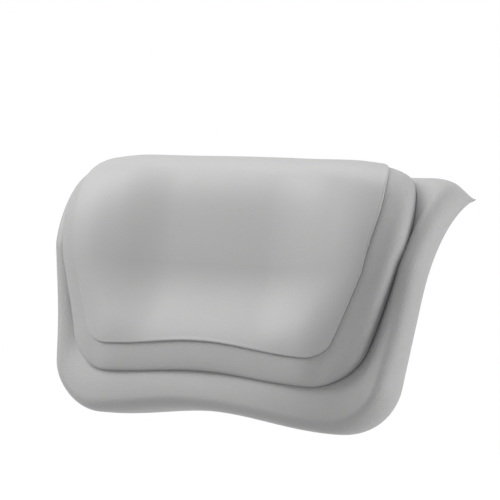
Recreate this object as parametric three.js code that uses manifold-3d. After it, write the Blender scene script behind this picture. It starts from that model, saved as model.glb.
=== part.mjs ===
// A bath pillow: three nested foam cushions on a ribbed back plate, held to the bath by four suction
// cups, with a lip at the top that lies over the rim.
// Millimetres. +X runs across the bath, +Y rearwards into its wall and +Z up along the wall.
// The origin lies on the wall, midway between the four cups.
import * as THREE from 'three';
import { mergeVertices } from 'three/addons/utils/BufferGeometryUtils.js';
import Module from 'manifold-3d';

const wasm = await Module();
wasm.setup();
const { degToRad, clamp, lerp, smoothstep } = THREE.MathUtils;

// Clearances
const seatGap = 0.3;
const sideGap = 0.5;
const floorGap = 0.9;
const leastRadius = 1;
const cutOverrun = 2;
const weldDistance = 0.0001;

// The back, seen from the side: straight, then an arc that bends rearwards under the lip.
// Heights are measured along the back from the bottom edge.
const standOff = 9.5;
const backStraight = 116;
const hookRadius = 98;
const hookAngle = 67.5;

// The sides of all the cushions sweep forward beyond the flat middle.
const flatHalfWidth = 120;
const sweepRun = 60;
const sideSweep = -6;

// Outlines, seen from the front. The taper is in degrees from upright. A sideExtra gives that many of
// the shoulder's steps to the side, so that the points of a border's two loops pair up.
const baseOutline = {
  foot: 0, top: backStraight + hookRadius * degToRad(hookAngle), arch: 9.6, cornerX: 113.5,
  cornerRadius: 47, taper: 8.5, flare: 1.5, shoulderRadius: 10, sideExtra: 3,
};
const middleOutline = {
  foot: 35.5, top: 207.6, arch: 5.7, cornerX: 95.2, cornerRadius: 39.5, taper: 17.4, flare: 0,
  shoulderRadius: 44.5,
};
const padOutline = {
  foot: 58, top: 193, arch: 7, cornerX: 98.5, cornerRadius: 13.5, taper: 18.2, flare: 0, shoulderRadius: 34,
};
const plateOutline = {
  foot: 17, top: 115, arch: 6, cornerX: 96, cornerRadius: 14, taper: 8.5, flare: 0, shoulderRadius: 12,
};

// Base cushion
const baseThickness = 32;
const baseFrontStraight = 139.5;
const baseFrontHandle = 19.5;
const lipHandle = 54;
const lipDroop = 55;
const baseEdgeInset = 11;
const baseUndercut = 28;
const footRoll = 10;
const footRollHeight = 20;
const footRollSpread = 34;

// Middle cushion. Its crest, where the head pad lies, stands forward of its shell and swells into a
// roll for the neck.
const middleThickness = 15.4;
const middleFrontStraight = 131.5;
const middleFrontHandle = 54.3;
const middleTopHandle = 62.5;
const middleTopLean = 35;
const middleTopForward = 1.5;
const middleTopUp = 1.5;
const middleEdgeInset = 14;
const middleUndercut = 20;
const traySink = 3;
const crestForward = 10.5;
const crestUp = 3;
const crestFade = 37;
const neckRoll = 11;
const neckRollHeight = 52;
const neckRollSpread = 34;
const neckRollHalfWidth = 112;

// Head pad
const padStep = 2.4;
const padEdgeInset = 1.5;
const padSink = 6;
const padDish = 11;
const padCrown = 8;
const padCrownFrom = 55;
const padCrownAt = 100;
const padCrownWidth = 16;

// Back plate
const plateThickness = 3;
const plateRecess = 0.4;
const ribHeight = 9;
const ribWidth = 2.4;
const ribPitch = 33;
const ribCount = 7;

// Suction cups and their sockets
const cupSpacingX = 140;
const cupRowLow = 37;
const cupRowHigh = 97;
const cupRadius = 20;
const cupRimWidth = 2;
const cupRimHeight = 1;
const cupHollow = 4.6;
const cupWall = 1.8;
const cupCollarRadius = 7;
const neckRadius = 4.5;
const neckHeadRadius = 6.6;
const neckHeadLength = 3.4;
const tabLength = 8.5;
const tabWidth = 10;
const tabThickness = 1.8;
const tabLift = 0.5;
const tabRibLength = 6;
const tabRibHeight = 0.5;
const tabRibWidth = 1;
const tabRibPitch = 2;
const tabRibCount = 3;
const flangeRadius = 16;
const flangeThickness = 2;
const flangeEdge = 0.6;
const hubRadius = 9.2;
const hubLength = 11;
const hubWall = 2;
const socketFloor = 2.4;

// Screws
const screwRadius = 1.5;
const screwLength = 9;
const screwHeadRadius = 2.8;
const screwHeadHeight = 1.7;
const screwCircle = 12.6;
const bossRadius = 3.6;

// Steps round each outline and along each curve
const bottomSteps = 7;
const cornerSteps = 5;
const sideSteps = 8;
const shoulderSteps = 7;
const topSteps = 5;
const roundSteps = 32;
const smallRoundSteps = 14;
const edgeSteps = 6;

const cupMiddle = (cupRowLow + cupRowHigh) / 2;

// Solids and geometry

function toSolid(geometry) {
  const bare = geometry.clone();
  bare.deleteAttribute('normal');
  bare.deleteAttribute('uv');
  const merged = mergeVertices(bare, weldDistance);
  return new wasm.Manifold(new wasm.Mesh({
    numProp: 3,
    vertProperties: new Float32Array(merged.attributes.position.array),
    triVerts: new Uint32Array(merged.index.array),
  }));
}

function toGeometry(solid) {
  const { vertProperties, triVerts } = solid.getMesh();
  const geometry = new THREE.BufferGeometry();
  geometry.setAttribute('position', new THREE.BufferAttribute(vertProperties, 3));
  geometry.setIndex(new THREE.BufferAttribute(triVerts, 1));
  return geometry;
}

const material = (color, roughness) => new THREE.MeshStandardMaterial({ color, roughness, metalness: 0 });

function piece(name, geometry, surface) {
  const mesh = new THREE.Mesh(geometry, surface);
  mesh.name = name;
  return mesh;
}

// The side profile

// Depth behind the back's straight part and height, for a length along the back from the bottom.
function backCurve(along) {
  const bend = Math.max(0, (along - backStraight) / hookRadius);
  return new THREE.Vector2(
    hookRadius * (1 - Math.cos(bend)), Math.min(along, backStraight) + hookRadius * Math.sin(bend),
  );
}

const lipTip = backCurve(baseOutline.top);

function profile(depth, straight, handle, end, endHandle, endAngle, endAlong) {
  const start = new THREE.Vector2(-depth, straight);
  const lean = degToRad(endAngle);
  const curve = new THREE.CubicBezierCurve(
    start,
    new THREE.Vector2(-depth, straight + handle),
    new THREE.Vector2(end.x - endHandle * Math.cos(lean), end.y + endHandle * Math.sin(lean)),
    end,
  );
  return (along) => {
    if (along < straight) return new THREE.Vector2(-depth, along);
    return curve.getPoint(Math.min(1, (along - straight) / (endAlong - straight)));
  };
}

// A bell curve in height, 1 at its middle
const bell = (along, middle, spread) => Math.exp(-(((along - middle) / spread) ** 2));

const baseShell = profile(
  baseThickness, baseFrontStraight, baseFrontHandle, lipTip, lipHandle, lipDroop, baseOutline.top,
);

// The base cushion's front: its shell, with a forward roll at the foot
function baseFront(along) {
  const front = baseShell(along);
  front.x -= footRoll * bell(along, footRollHeight, footRollSpread);
  return front;
}

const middleTopEnd = baseFront(middleOutline.top).add(new THREE.Vector2(-middleTopForward, middleTopUp));
const middleFront = profile(
  baseThickness + middleThickness, middleFrontStraight, middleFrontHandle,
  middleTopEnd, middleTopHandle, middleTopLean, middleOutline.top,
);

// The middle cushion's crest. It fades into the shell at the top.
function crestFront(along, x) {
  const front = middleFront(along);
  const fade = clamp((padOutline.top - along) / crestFade, 0, 1);
  const across = clamp(1 - (x / neckRollHalfWidth) ** 4, 0, 1);
  front.x -= crestForward * fade + neckRoll * across * bell(along, neckRollHeight, neckRollSpread);
  front.y += crestUp * fade;
  return front;
}

// Half the width of a tapered outline at a height, between its corners and its shoulders
function halfWidth(outline, along) {
  const lean = degToRad(outline.taper);
  const side = outline.cornerX * Math.cos(lean) + outline.cornerRadius
    - (outline.foot + outline.cornerRadius) * Math.sin(lean);
  return (side + along * Math.sin(lean)) / Math.cos(lean);
}

// The depth of the head pad's dish behind the crest, level with it all round the pad's edge
function dishDepth(along, x) {
  const across = clamp(1 - (x / halfWidth(padOutline, along)) ** 4, 0, 1);
  const height = clamp((along - padOutline.foot) / (padOutline.top - padOutline.foot), 0, 1);
  return padDish * across ** 2 * Math.sin(Math.PI * height) ** 2;
}

// The head pad's face: one step in front of the crest, with a crown along each side, and dished
function padFront(along, x) {
  const front = crestFront(along, x);
  const near = smoothstep(Math.abs(x), padCrownFrom, padCrownAt);
  const inside = clamp((halfWidth(padOutline, along) - Math.abs(x)) / padCrownWidth, 0, 1);
  front.x -= padStep + padCrown * near * inside * (2 - inside) - dishDepth(along, x);
  return front;
}

// One closed loop of an outline, drawn in by an inset: an arched bottom, round lower corners,
// tapered sides that flare outwards, round shoulders and a straight top. It runs anticlockwise
// from the middle of the bottom, seen from the front.
function outlineLoop(outline, inset) {
  const lean = degToRad(outline.taper);
  const cos = Math.cos(lean);
  const sin = Math.sin(lean);
  const radius = Math.max(outline.cornerRadius - inset, leastRadius);
  const shoulder = Math.max(outline.shoulderRadius - inset, leastRadius);
  const side = outline.cornerX * cos - (outline.foot + outline.cornerRadius) * sin
    + outline.cornerRadius - inset;
  const cornerZ = outline.foot + inset + radius;
  const cornerX = (side - radius + cornerZ * sin) / cos;
  const shoulderZ = outline.top - inset - shoulder;
  const shoulderX = (side - shoulder + shoulderZ * sin) / cos + outline.flare;
  const { sideExtra = 0 } = outline;
  const half = [];
  for (let i = 0; i < bottomSteps; i++) {
    const share = i / bottomSteps;
    const lift = outline.arch * (1 + Math.cos(Math.PI * share)) / 2;
    half.push([cornerX * share, outline.foot + inset + lift]);
  }
  for (let i = 0; i < cornerSteps; i++) {
    const angle = lerp(-Math.PI / 2, -lean, i / cornerSteps);
    half.push([cornerX + radius * Math.cos(angle), cornerZ + radius * Math.sin(angle)]);
  }
  const low = [cornerX + radius * cos, cornerZ - radius * sin];
  const high = [shoulderX + shoulder * cos, shoulderZ - shoulder * sin];
  const sideCount = sideSteps + sideExtra;
  for (let i = 0; i < sideCount; i++) {
    const share = i / sideCount;
    const flare = outline.flare * (share * share - share);
    half.push([lerp(low[0], high[0], share) + flare, lerp(low[1], high[1], share)]);
  }
  const shoulderCount = shoulderSteps - sideExtra;
  for (let i = 0; i < shoulderCount; i++) {
    const angle = lerp(-lean, Math.PI / 2, i / shoulderCount);
    half.push([shoulderX + shoulder * Math.cos(angle), shoulderZ + shoulder * Math.sin(angle)]);
  }
  for (let i = 0; i <= topSteps; i++) {
    half.push([shoulderX * (1 - i / topSteps), outline.top - inset]);
  }
  const mirrored = half.slice(1, -1).reverse().map(([x, along]) => [-x, along]);
  return half.concat(mirrored);
}

// Puts a loop into space, between a back surface and a front surface.
function ring(loop, level, back, front) {
  return loop.map(([x, along]) => {
    const point = back(along, x).lerp(front(along, x), level);
    const sweep = sideSweep * (Math.max(0, Math.abs(x) - flatHalfWidth) / sweepRun) ** 2;
    return new THREE.Vector3(x, point.x + sweep - standOff, point.y);
  });
}

// Loops drawn in towards the middle of a face, by the given shares.
function shrunk(loop, shares) {
  const low = Math.min(...loop.map(([, along]) => along));
  const high = Math.max(...loop.map(([, along]) => along));
  const middle = (low + high) / 2;
  return shares.map((share) => loop.map(([x, along]) => [x * share, lerp(middle, along, share)]));
}

// Loops between two loops, at the given shares of the way.
function between(from, to, shares) {
  return shares.map((share) => from.map(([x, along], i) => [
    lerp(x, to[i][0], share), lerp(along, to[i][1], share),
  ]));
}

// Joins rings into one closed body, with a fan on each end.
function closeRings(rings) {
  const count = rings[0].length;
  const points = rings.flat();
  const index = [];
  for (let r = 0; r + 1 < rings.length; r++) {
    for (let i = 0; i < count; i++) {
      const next = (i + 1) % count;
      const a = r * count + i;
      const b = r * count + next;
      const crossing = points[a].distanceTo(points[b + count]) < points[b].distanceTo(points[a + count]);
      if (crossing) index.push(a, b, b + count, a, b + count, a + count);
      else index.push(a, b, a + count, b, b + count, a + count);
    }
  }
  for (const [r, forward] of [[0, false], [rings.length - 1, true]]) {
    const centre = new THREE.Vector3();
    rings[r].forEach((point) => centre.add(point));
    points.push(centre.divideScalar(count));
    for (let i = 0; i < count; i++) {
      const a = r * count + i;
      const b = r * count + (i + 1) % count;
      index.push(...(forward ? [a, b, points.length - 1] : [b, a, points.length - 1]));
    }
  }
  const geometry = new THREE.BufferGeometry();
  geometry.setAttribute('position', new THREE.Float32BufferAttribute(points.flatMap((p) => p.toArray()), 3));
  geometry.setIndex(index);
  return geometry;
}

// The rolled side of a cushion: narrow at its root by the undercut, widest at its waist, and
// drawn in by the edge inset where it turns into the front, or as far as a top loop.
function rolledSide(outline, edgeInset, undercut, back, front, top = outlineLoop(outline, edgeInset)) {
  const rings = [];
  const low = -degToRad(undercut);
  for (let i = 0; i <= edgeSteps; i++) {
    const angle = lerp(low, Math.PI / 2, i / edgeSteps);
    const level = (Math.sin(angle) - Math.sin(low)) / (1 - Math.sin(low));
    const drawn = 1 - Math.cos(angle);
    const loop = angle < 0 ? outlineLoop(outline, edgeInset * drawn)
      : between(outlineLoop(outline, 0), top, [drawn])[0];
    rings.push(ring(loop, level, back, front));
  }
  return rings;
}

// The floor of the tray in a cushion's front that the next cushion sits in
function trayFloor(loop, floor, shares) {
  return [loop, ...shrunk(loop, shares)].map((inner) => ring(inner, 1, floor, floor));
}

const rootInset = (edgeInset, undercut) => edgeInset * (1 - Math.cos(degToRad(undercut)));
const faceShares = [0.9, 0.8, 0.65, 0.5, 0.35, 0.18];
const backShares = [0.3, 0.5, 0.66, 0.8, 0.9];
const hiddenShares = [0.85, 0.65, 0.35];
const borderShares = [0.25, 0.5, 0.75, 1];

// Suction cup sockets sit at the corners of a rectangle.
const cupPlaces = [
  { name: 'ul', x: -cupSpacingX / 2, z: cupRowHigh },
  { name: 'ur', x: cupSpacingX / 2, z: cupRowHigh },
  { name: 'll', x: -cupSpacingX / 2, z: cupRowLow },
  { name: 'lr', x: cupSpacingX / 2, z: cupRowLow },
];
const screwPlaces = cupPlaces.flatMap(({ name, x, z }) => [
  { name: `${name}_left`, x: x - screwCircle, z },
  { name: `${name}_right`, x: x + screwCircle, z },
]);

// Depths along Y
const plateBack = -standOff - plateRecess;
const plateFront = plateBack - plateThickness;
const ribFront = plateFront - ribHeight;
const flangeBack = plateBack + flangeThickness;
const socketFloorFront = flangeBack - socketFloor;

// A round bar along Y
function roundBar(radius, from, to, place, steps = roundSteps) {
  const bar = new THREE.CylinderGeometry(radius, radius, Math.abs(from - to), steps);
  bar.translate(place.x, (from + to) / 2, place.z);
  return toSolid(bar);
}

// A flat plate with a cushion's outline, between two depths
function outlinePlate(outline, inset, from, to) {
  const shape = new THREE.Shape(outlineLoop(outline, inset).map(([x, z]) => new THREE.Vector2(x, z)));
  const plate = new THREE.ExtrudeGeometry(shape, { depth: Math.abs(from - to), bevelEnabled: false });
  plate.rotateX(Math.PI / 2);
  plate.translate(0, Math.max(from, to), 0);
  return toSolid(plate);
}

// A surface set forward of another, or behind it where the depth is negative
const forward = (surface, depth) => (along, x) => surface(along, x).sub(new THREE.Vector2(depth, 0));

// A surface set inside another: straight back where the front is upright, straight down at its top
const inside = (surface, depth) => (along, x) => {
  const lean = (Math.PI / 2) * smoothstep(along, middleFrontStraight, middleOutline.top);
  return surface(along, x).add(new THREE.Vector2(Math.cos(lean), -Math.sin(lean)).multiplyScalar(depth));
};

function baseCushion() {
  const back = (along) => backCurve(along);
  const side = rolledSide(baseOutline, baseEdgeInset, baseUndercut, back, baseFront);
  const rootLoop = outlineLoop(baseOutline, rootInset(baseEdgeInset, baseUndercut));
  const backRings = shrunk(rootLoop, backShares).map((loop) => ring(loop, 0, back, baseFront));
  const seatInset = rootInset(middleEdgeInset, middleUndercut);
  const seatLoop = outlineLoop(middleOutline, seatInset - seatGap);
  const seat = trayFloor(seatLoop, inside(baseFront, traySink), hiddenShares);
  const border = between(outlineLoop(baseOutline, baseEdgeInset), seatLoop, borderShares)
    .map((loop) => ring(loop, 1, baseFront, baseFront));
  const body = toSolid(closeRings([...backRings, ...side, ...border, ...seat]));
  const pocket = outlinePlate(plateOutline, -seatGap, -standOff + cutOverrun, ribFront - seatGap);
  return toGeometry(body.subtract(pocket));
}

// A cushion that plugs into the tray of the one behind it: its root goes down to just clear of the
// tray's floor, and its rolled side starts just clear of the surface round the tray.
function pluggedCushion(outline, edgeInset, undercut, seat, floor, front, face, top) {
  const root = outlineLoop(outline, rootInset(edgeInset, undercut));
  const under = trayFloor(root, inside(floor, -floorGap), hiddenShares).reverse();
  const side = rolledSide(outline, edgeInset, undercut, forward(seat, sideGap), front, top);
  return closeRings([...under, ...side, ...face]);
}

// The floor of the tray for the head pad, which follows the dish
const padSeat = (along, x) => inside(crestFront, padSink + dishDepth(along, x))(along, x);

function middleCushion() {
  const edge = outlineLoop(padOutline, -seatGap);
  return pluggedCushion(
    middleOutline, middleEdgeInset, middleUndercut, baseFront, inside(baseFront, traySink), crestFront,
    trayFloor(edge, padSeat, hiddenShares), edge,
  );
}

function headPad() {
  const loops = shrunk(outlineLoop(padOutline, padEdgeInset), faceShares);
  const face = loops.map((loop) => ring(loop, 1, padFront, padFront));
  return pluggedCushion(padOutline, padEdgeInset, 0, crestFront, padSeat, padFront, face);
}

// A moulded plate with a rim, upright and level ribs, a ring round each hub hole, and screw bosses
function backPlate() {
  let plate = outlinePlate(plateOutline, 0, plateBack, plateFront);
  const outer = outlinePlate(plateOutline, 0, plateBack, ribFront);
  const inner = outlinePlate(plateOutline, ribWidth, plateBack + cutOverrun, ribFront - cutOverrun);
  plate = plate.add(outer.subtract(inner));
  const reach = baseOutline.cornerX;
  const bars = [];
  for (let i = 0; i < ribCount; i++) {
    const rib = new THREE.BoxGeometry(ribWidth, plateThickness + ribHeight, plateOutline.top);
    rib.translate((i - (ribCount - 1) / 2) * ribPitch, (plateBack + ribFront) / 2, plateOutline.top / 2);
    bars.push(toSolid(rib));
  }
  for (const z of [cupRowLow, cupMiddle, cupRowHigh]) {
    const rib = new THREE.BoxGeometry(reach * 2, plateThickness + ribHeight, ribWidth);
    rib.translate(0, (plateBack + ribFront) / 2, z);
    bars.push(toSolid(rib));
  }
  const web = bars.reduce((all, bar) => all.add(bar));
  plate = plate.add(web.intersect(outer));
  const through = [plateBack + cutOverrun, ribFront - cutOverrun];
  const hubHole = hubRadius + seatGap;
  for (const place of cupPlaces) plate = plate.add(roundBar(hubHole + ribWidth, plateBack, ribFront, place));
  for (const place of screwPlaces) {
    plate = plate.add(roundBar(bossRadius, plateBack, ribFront, place, smallRoundSteps));
  }
  for (const place of cupPlaces) plate = plate.subtract(roundBar(hubHole, ...through, place));
  for (const place of screwPlaces) {
    plate = plate.subtract(roundBar(screwRadius + seatGap, ...through, place, smallRoundSteps));
  }
  return toGeometry(plate);
}

// A flanged socket: a round hub whose floor has the hole that the cup's neck turns in
function cupSocket(place) {
  const hubFront = flangeBack - flangeThickness - hubLength;
  const bore = neckRadius + seatGap;
  const outline = [
    [bore, flangeBack], [bore, socketFloorFront], [hubRadius - hubWall, socketFloorFront],
    [hubRadius - hubWall, hubFront], [hubRadius, hubFront], [hubRadius, plateBack + seatGap],
    [flangeRadius, plateBack + seatGap], [flangeRadius, flangeBack - flangeEdge],
    [flangeRadius - flangeEdge, flangeBack], [bore, flangeBack],
  ];
  let socket = toSolid(new THREE.LatheGeometry(outline.map(([r, y]) => new THREE.Vector2(r, y)), roundSteps));
  for (const side of [-1, 1]) {
    const hole = { x: side * screwCircle, z: 0 };
    socket = socket.subtract(
      roundBar(screwRadius + seatGap, flangeBack + cutOverrun, plateBack - cutOverrun, hole, smallRoundSteps),
    );
  }
  const geometry = toGeometry(socket);
  geometry.translate(place.x, 0, place.z);
  return geometry;
}

// One pan-headed screw, with its head on the flange
function screw(place) {
  const headBack = flangeBack + seatGap;
  const outline = [
    [0, headBack - screwLength], [screwRadius, headBack - screwLength + screwRadius], [screwRadius, headBack],
    [screwHeadRadius, headBack], [screwHeadRadius, headBack + screwHeadHeight / 2],
    [screwHeadRadius - screwHeadHeight / 2, headBack + screwHeadHeight], [0, headBack + screwHeadHeight],
  ];
  const turned = new THREE.LatheGeometry(outline.map(([r, y]) => new THREE.Vector2(r, y)), smallRoundSteps);
  turned.translate(place.x, 0, place.z);
  return turned;
}

// The dome's hollow, as shares of its radius and depth, from the rim to the middle
const domeShares = [[1, 0], [0.72, 0.52], [0.4, 0.88], [0, 1]];

// A soft suction cup: a flat rim ring on the wall, a dome, a collar, and a neck with a head that
// turns in the socket. The release tab hangs down.
function suctionCup(place) {
  const collarTop = flangeBack + seatGap;
  const headStart = socketFloorFront - seatGap;
  const rimInner = cupRadius - cupRimWidth;
  const hollow = domeShares.map(([r, depth]) => [rimInner * r, -cupHollow * depth]);
  const [shoulderRadius, shoulderBack] = hollow[1];
  const outer = [
    [0, headStart - neckHeadLength], [neckRadius - cupWall, headStart - neckHeadLength],
    [neckHeadRadius, headStart - neckHeadLength / 2], [neckHeadRadius, headStart], [neckRadius, headStart],
    [neckRadius, collarTop], [cupCollarRadius, collarTop],
    [cupCollarRadius + cupWall / 2, -cupHollow - cupWall], [shoulderRadius, shoulderBack - cupWall],
    [cupRadius, -cupRimHeight - cupWall / 4], [cupRadius, 0],
  ];
  const points = [...outer, ...hollow].map(([r, y]) => new THREE.Vector2(r, y));
  let cup = toSolid(new THREE.LatheGeometry(points, roundSteps));
  const tabEnd = -cupRadius - tabLength;
  const shape = new THREE.Shape();
  shape.moveTo(-tabWidth / 2, -rimInner - cupRimHeight);
  shape.lineTo(-tabWidth / 2, tabEnd + tabWidth / 2);
  shape.absarc(0, tabEnd + tabWidth / 2, tabWidth / 2, Math.PI, Math.PI * 2);
  shape.lineTo(tabWidth / 2, -rimInner - cupRimHeight);
  const tab = new THREE.ExtrudeGeometry(shape, {
    depth: tabThickness, bevelEnabled: false, curveSegments: smallRoundSteps / 2,
  });
  tab.rotateX(Math.PI / 2);
  tab.translate(0, -tabLift, 0);
  cup = cup.add(toSolid(tab));
  const ribDepth = tabThickness + tabRibHeight;
  for (let i = 0; i < tabRibCount; i++) {
    const rib = new THREE.BoxGeometry(tabRibLength, ribDepth, tabRibWidth);
    const step = (i - (tabRibCount - 1) / 2) * tabRibPitch;
    rib.translate(0, -tabLift - ribDepth / 2, -cupRadius - tabLength / 2 + step);
    cup = cup.add(toSolid(rib));
  }
  const geometry = toGeometry(cup);
  geometry.translate(place.x, 0, place.z);
  return geometry;
}

const padSkin = material(0xb9b9b8, 0.55);
const cushionSkin = material(0xb4b4b3, 0.6);
const plateResin = material(0x8f9192, 0.5);
const socketResin = material(0x77797b, 0.45);
const cupVinyl = material(0xd9dcdc, 0.25);
const screwSteel = new THREE.MeshStandardMaterial({ color: 0xc4c6c8, roughness: 0.3, metalness: 1 });

const pillow = new THREE.Group();
pillow.position.z = -cupMiddle;
pillow.add(piece('base_cushion', baseCushion(), cushionSkin));
pillow.add(piece('middle_cushion', middleCushion(), cushionSkin));
pillow.add(piece('head_pad', headPad(), padSkin));
pillow.add(piece('back_plate', backPlate(), plateResin));
for (const place of cupPlaces) {
  pillow.add(piece(`cup_socket_${place.name}`, cupSocket(place), socketResin));
  pillow.add(piece(`suction_cup_${place.name}`, suctionCup(place), cupVinyl));
}
for (const place of screwPlaces) {
  pillow.add(piece(`socket_screw_${place.name}`, screw(place), screwSteel));
}

export default pillow;
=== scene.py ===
# %% [markdown]
# A bath pillow is made of three nested cushions of moulded foam. The largest lies against the wall of
# the bath, and its top runs over the rim as a lip. The middle cushion stands on it, one step smaller
# all round, and the thin head pad on top of that is dished for the head. A ribbed plate with four
# suction cups holds the pillow from behind. Soft pieces like these could be sculpted by hand or blown
# up as cloth. Here each cushion is worked out as a stack of rings, because a moulded piece has exact
# outlines and crisp edges, and every size can then be changed by itself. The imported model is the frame
# that stays fixed: this script gives the soft pieces their full form and every piece its finish.

# %% The frame
import math

import bpy
import numpy as np
from mathutils import Matrix, Vector


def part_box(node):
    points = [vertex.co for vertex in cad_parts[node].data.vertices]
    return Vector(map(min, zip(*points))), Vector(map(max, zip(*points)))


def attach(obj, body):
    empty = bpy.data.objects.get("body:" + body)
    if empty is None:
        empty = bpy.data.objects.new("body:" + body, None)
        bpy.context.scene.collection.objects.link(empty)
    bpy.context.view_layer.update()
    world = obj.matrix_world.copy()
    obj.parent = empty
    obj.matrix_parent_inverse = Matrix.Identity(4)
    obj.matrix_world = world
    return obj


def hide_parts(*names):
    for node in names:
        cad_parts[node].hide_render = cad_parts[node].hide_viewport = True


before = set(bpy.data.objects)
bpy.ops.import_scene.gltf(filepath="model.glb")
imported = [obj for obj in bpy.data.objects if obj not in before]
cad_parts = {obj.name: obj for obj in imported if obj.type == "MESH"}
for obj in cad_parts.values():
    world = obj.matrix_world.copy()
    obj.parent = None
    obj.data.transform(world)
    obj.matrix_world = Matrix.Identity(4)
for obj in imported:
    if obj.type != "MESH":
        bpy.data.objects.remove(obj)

MM = 0.001
RIGHT_ANGLE = np.pi / 2
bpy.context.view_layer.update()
base_low, base_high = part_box("base_cushion")

# %% [markdown]
# Seen from the side, the pillow's back is straight where it lies on the wall, and then it bends over
# the rim in one arc. The front is upright, and then it leans back to meet that arc in the lip's tip.
# Such profiles could be drawn as curve objects and turned into a mesh. Functions are chosen here,
# because they give any number of points at once, for every ring of a cushion. Heights are counted
# along the back from its bottom edge, so that a point keeps its height when the back bends over.

# %% Side curves
STAND_OFF = 9.5 * MM
BACK_STRAIGHT = 116 * MM
HOOK_RADIUS = 98 * MM
HOOK_ANGLE = math.radians(67.5)
TOP = BACK_STRAIGHT + HOOK_RADIUS * HOOK_ANGLE
BOTTOM = base_low.z


def back_curve(along):
    """Depth and height of the back: upright up to BACK_STRAIGHT, then an arc of HOOK_RADIUS."""
    bend = np.clip(along - BACK_STRAIGHT, 0, None) / HOOK_RADIUS
    depth = HOOK_RADIUS * (1 - np.cos(bend))
    height = np.minimum(along, BACK_STRAIGHT) + HOOK_RADIUS * np.sin(bend)
    return np.stack([depth, height], -1)


def front_curve(depth, straight, handle, end, end_handle, end_lean, end_along):
    """A front: upright at -depth up to the height straight, then a cubic Bezier curve to end.

    For the share t of the way from straight to end_along, the curve is (1 - t)^3 first
    + 3 (1 - t)^2 t second + 3 (1 - t) t^2 third + t^3 end. The second point stands a handle above the
    first, and the third lies end_handle before the end, on a line that climbs forwards at end_lean.
    """
    first = np.array([-depth, straight])
    second = first + [0, handle]
    third = end + end_handle * np.array([-math.cos(end_lean), math.sin(end_lean)])

    def curve(along):
        t = np.clip((along - straight) / (end_along - straight), 0, 1)[..., None]
        bent = ((1 - t) ** 3 * first + 3 * (1 - t) ** 2 * t * second
                + 3 * (1 - t) * t ** 2 * third + t ** 3 * end)
        upright = np.stack([np.full_like(along, -depth), along], -1)
        return np.where((along < straight)[..., None], upright, bent)

    return curve


LIP_TIP = back_curve(np.array(TOP))
print("back", round(TOP / MM, 1), "mm long, lip tip", np.round(LIP_TIP / MM, 1), "mm deep and high")

# %% [markdown]
# The base cushion's front has more shape than its plain profile. It rolls forward at its foot, most of
# all in the middle, and its lip thins to a sharp corner at each side. More control points could do
# this. Smooth bumps added to the profile are chosen instead, because they leave no kink, and the
# height, the place and the width of each can be set alone.

# %% The base cushion's front
BASE_DEPTH = 32 * MM
BASE_STRAIGHT = 139.5 * MM
BASE_HANDLE = 19.5 * MM
LIP_HANDLE = 61 * MM
LIP_LEAN = math.radians(55)
LIP_HALF_WIDTH = base_high.x
TIP_ARC = 32 * MM
TIP_FROM = 165 * MM
FOOT_ROLL = 10 * MM
FOOT_SWELL = 18 * MM
FOOT_HALF_WIDTH = 150 * MM
FOOT_ROLL_HEIGHT = 19 * MM
FOOT_ROLL_SPREAD = 48 * MM
plain_front = front_curve(BASE_DEPTH, BASE_STRAIGHT, BASE_HANDLE, LIP_TIP, LIP_HANDLE, LIP_LEAN, TOP)


def eased(value, start, end):
    """From 0 at start to 1 at end, level at both: 3 s^2 - 2 s^3 for the share s of the way."""
    share = np.clip((value - start) / (end - start), 0, 1)
    return share * share * (3 - 2 * share)


def bell(value, middle, spread):
    """A bell curve, 1 at its middle: e to the power of minus the square of the way over the spread."""
    return np.exp(-((value - middle) / spread) ** 2)


def plateau(x, half_width):
    """(1 - u^4)^2 for the share u of a half width: nearly level in the middle, 0 from the edge on."""
    return np.clip(1 - (x / half_width) ** 4, 0, 1) ** 2


def between(low, high, level):
    """Points at a level between two surfaces: low + (high - low) * level."""
    return low + (high - low) * np.asarray(level)[..., None]


def base_front(x, along):
    """The base cushion's front: the plain profile, rolled forward at its foot, with a thin-cornered lip.

    The roll is a bell in height, fuller by a swell that is a plateau across. Near its corners the lip
    thins by 1 - sqrt(1 - p^2), as a circle falls, where p goes from 0 to 1 over TIP_ARC.
    """
    side = plain_front(along)
    forward = FOOT_ROLL + FOOT_SWELL * plateau(x, FOOT_HALF_WIDTH)
    side[..., 0] -= forward * bell(along, FOOT_ROLL_HEIGHT, FOOT_ROLL_SPREAD)
    past = np.clip((np.abs(x) - LIP_HALF_WIDTH) / TIP_ARC + 1, 0, 1)
    thin = (1 - np.sqrt(1 - past ** 2)) * eased(along, TIP_FROM, TOP)
    return between(side, back_curve(along), thin)


foot_middle = base_front(np.zeros(1), np.array([FOOT_ROLL_HEIGHT]))[0]
print("base cushion", round(-foot_middle[0] / MM, 1), "mm deep at the middle of its foot")

# %% [markdown]
# Seen from the front, the cushions and the plate share one kind of outline: an arched bottom, round
# lower corners, sides that lean outwards, round shoulders and a straight top. It could be traced point
# by point. Eight values for each are chosen, because they are the sizes that a maker would measure. The
# corners stand at corner_x and have the radius corner, and the taper is the lean of the sides.

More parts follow.
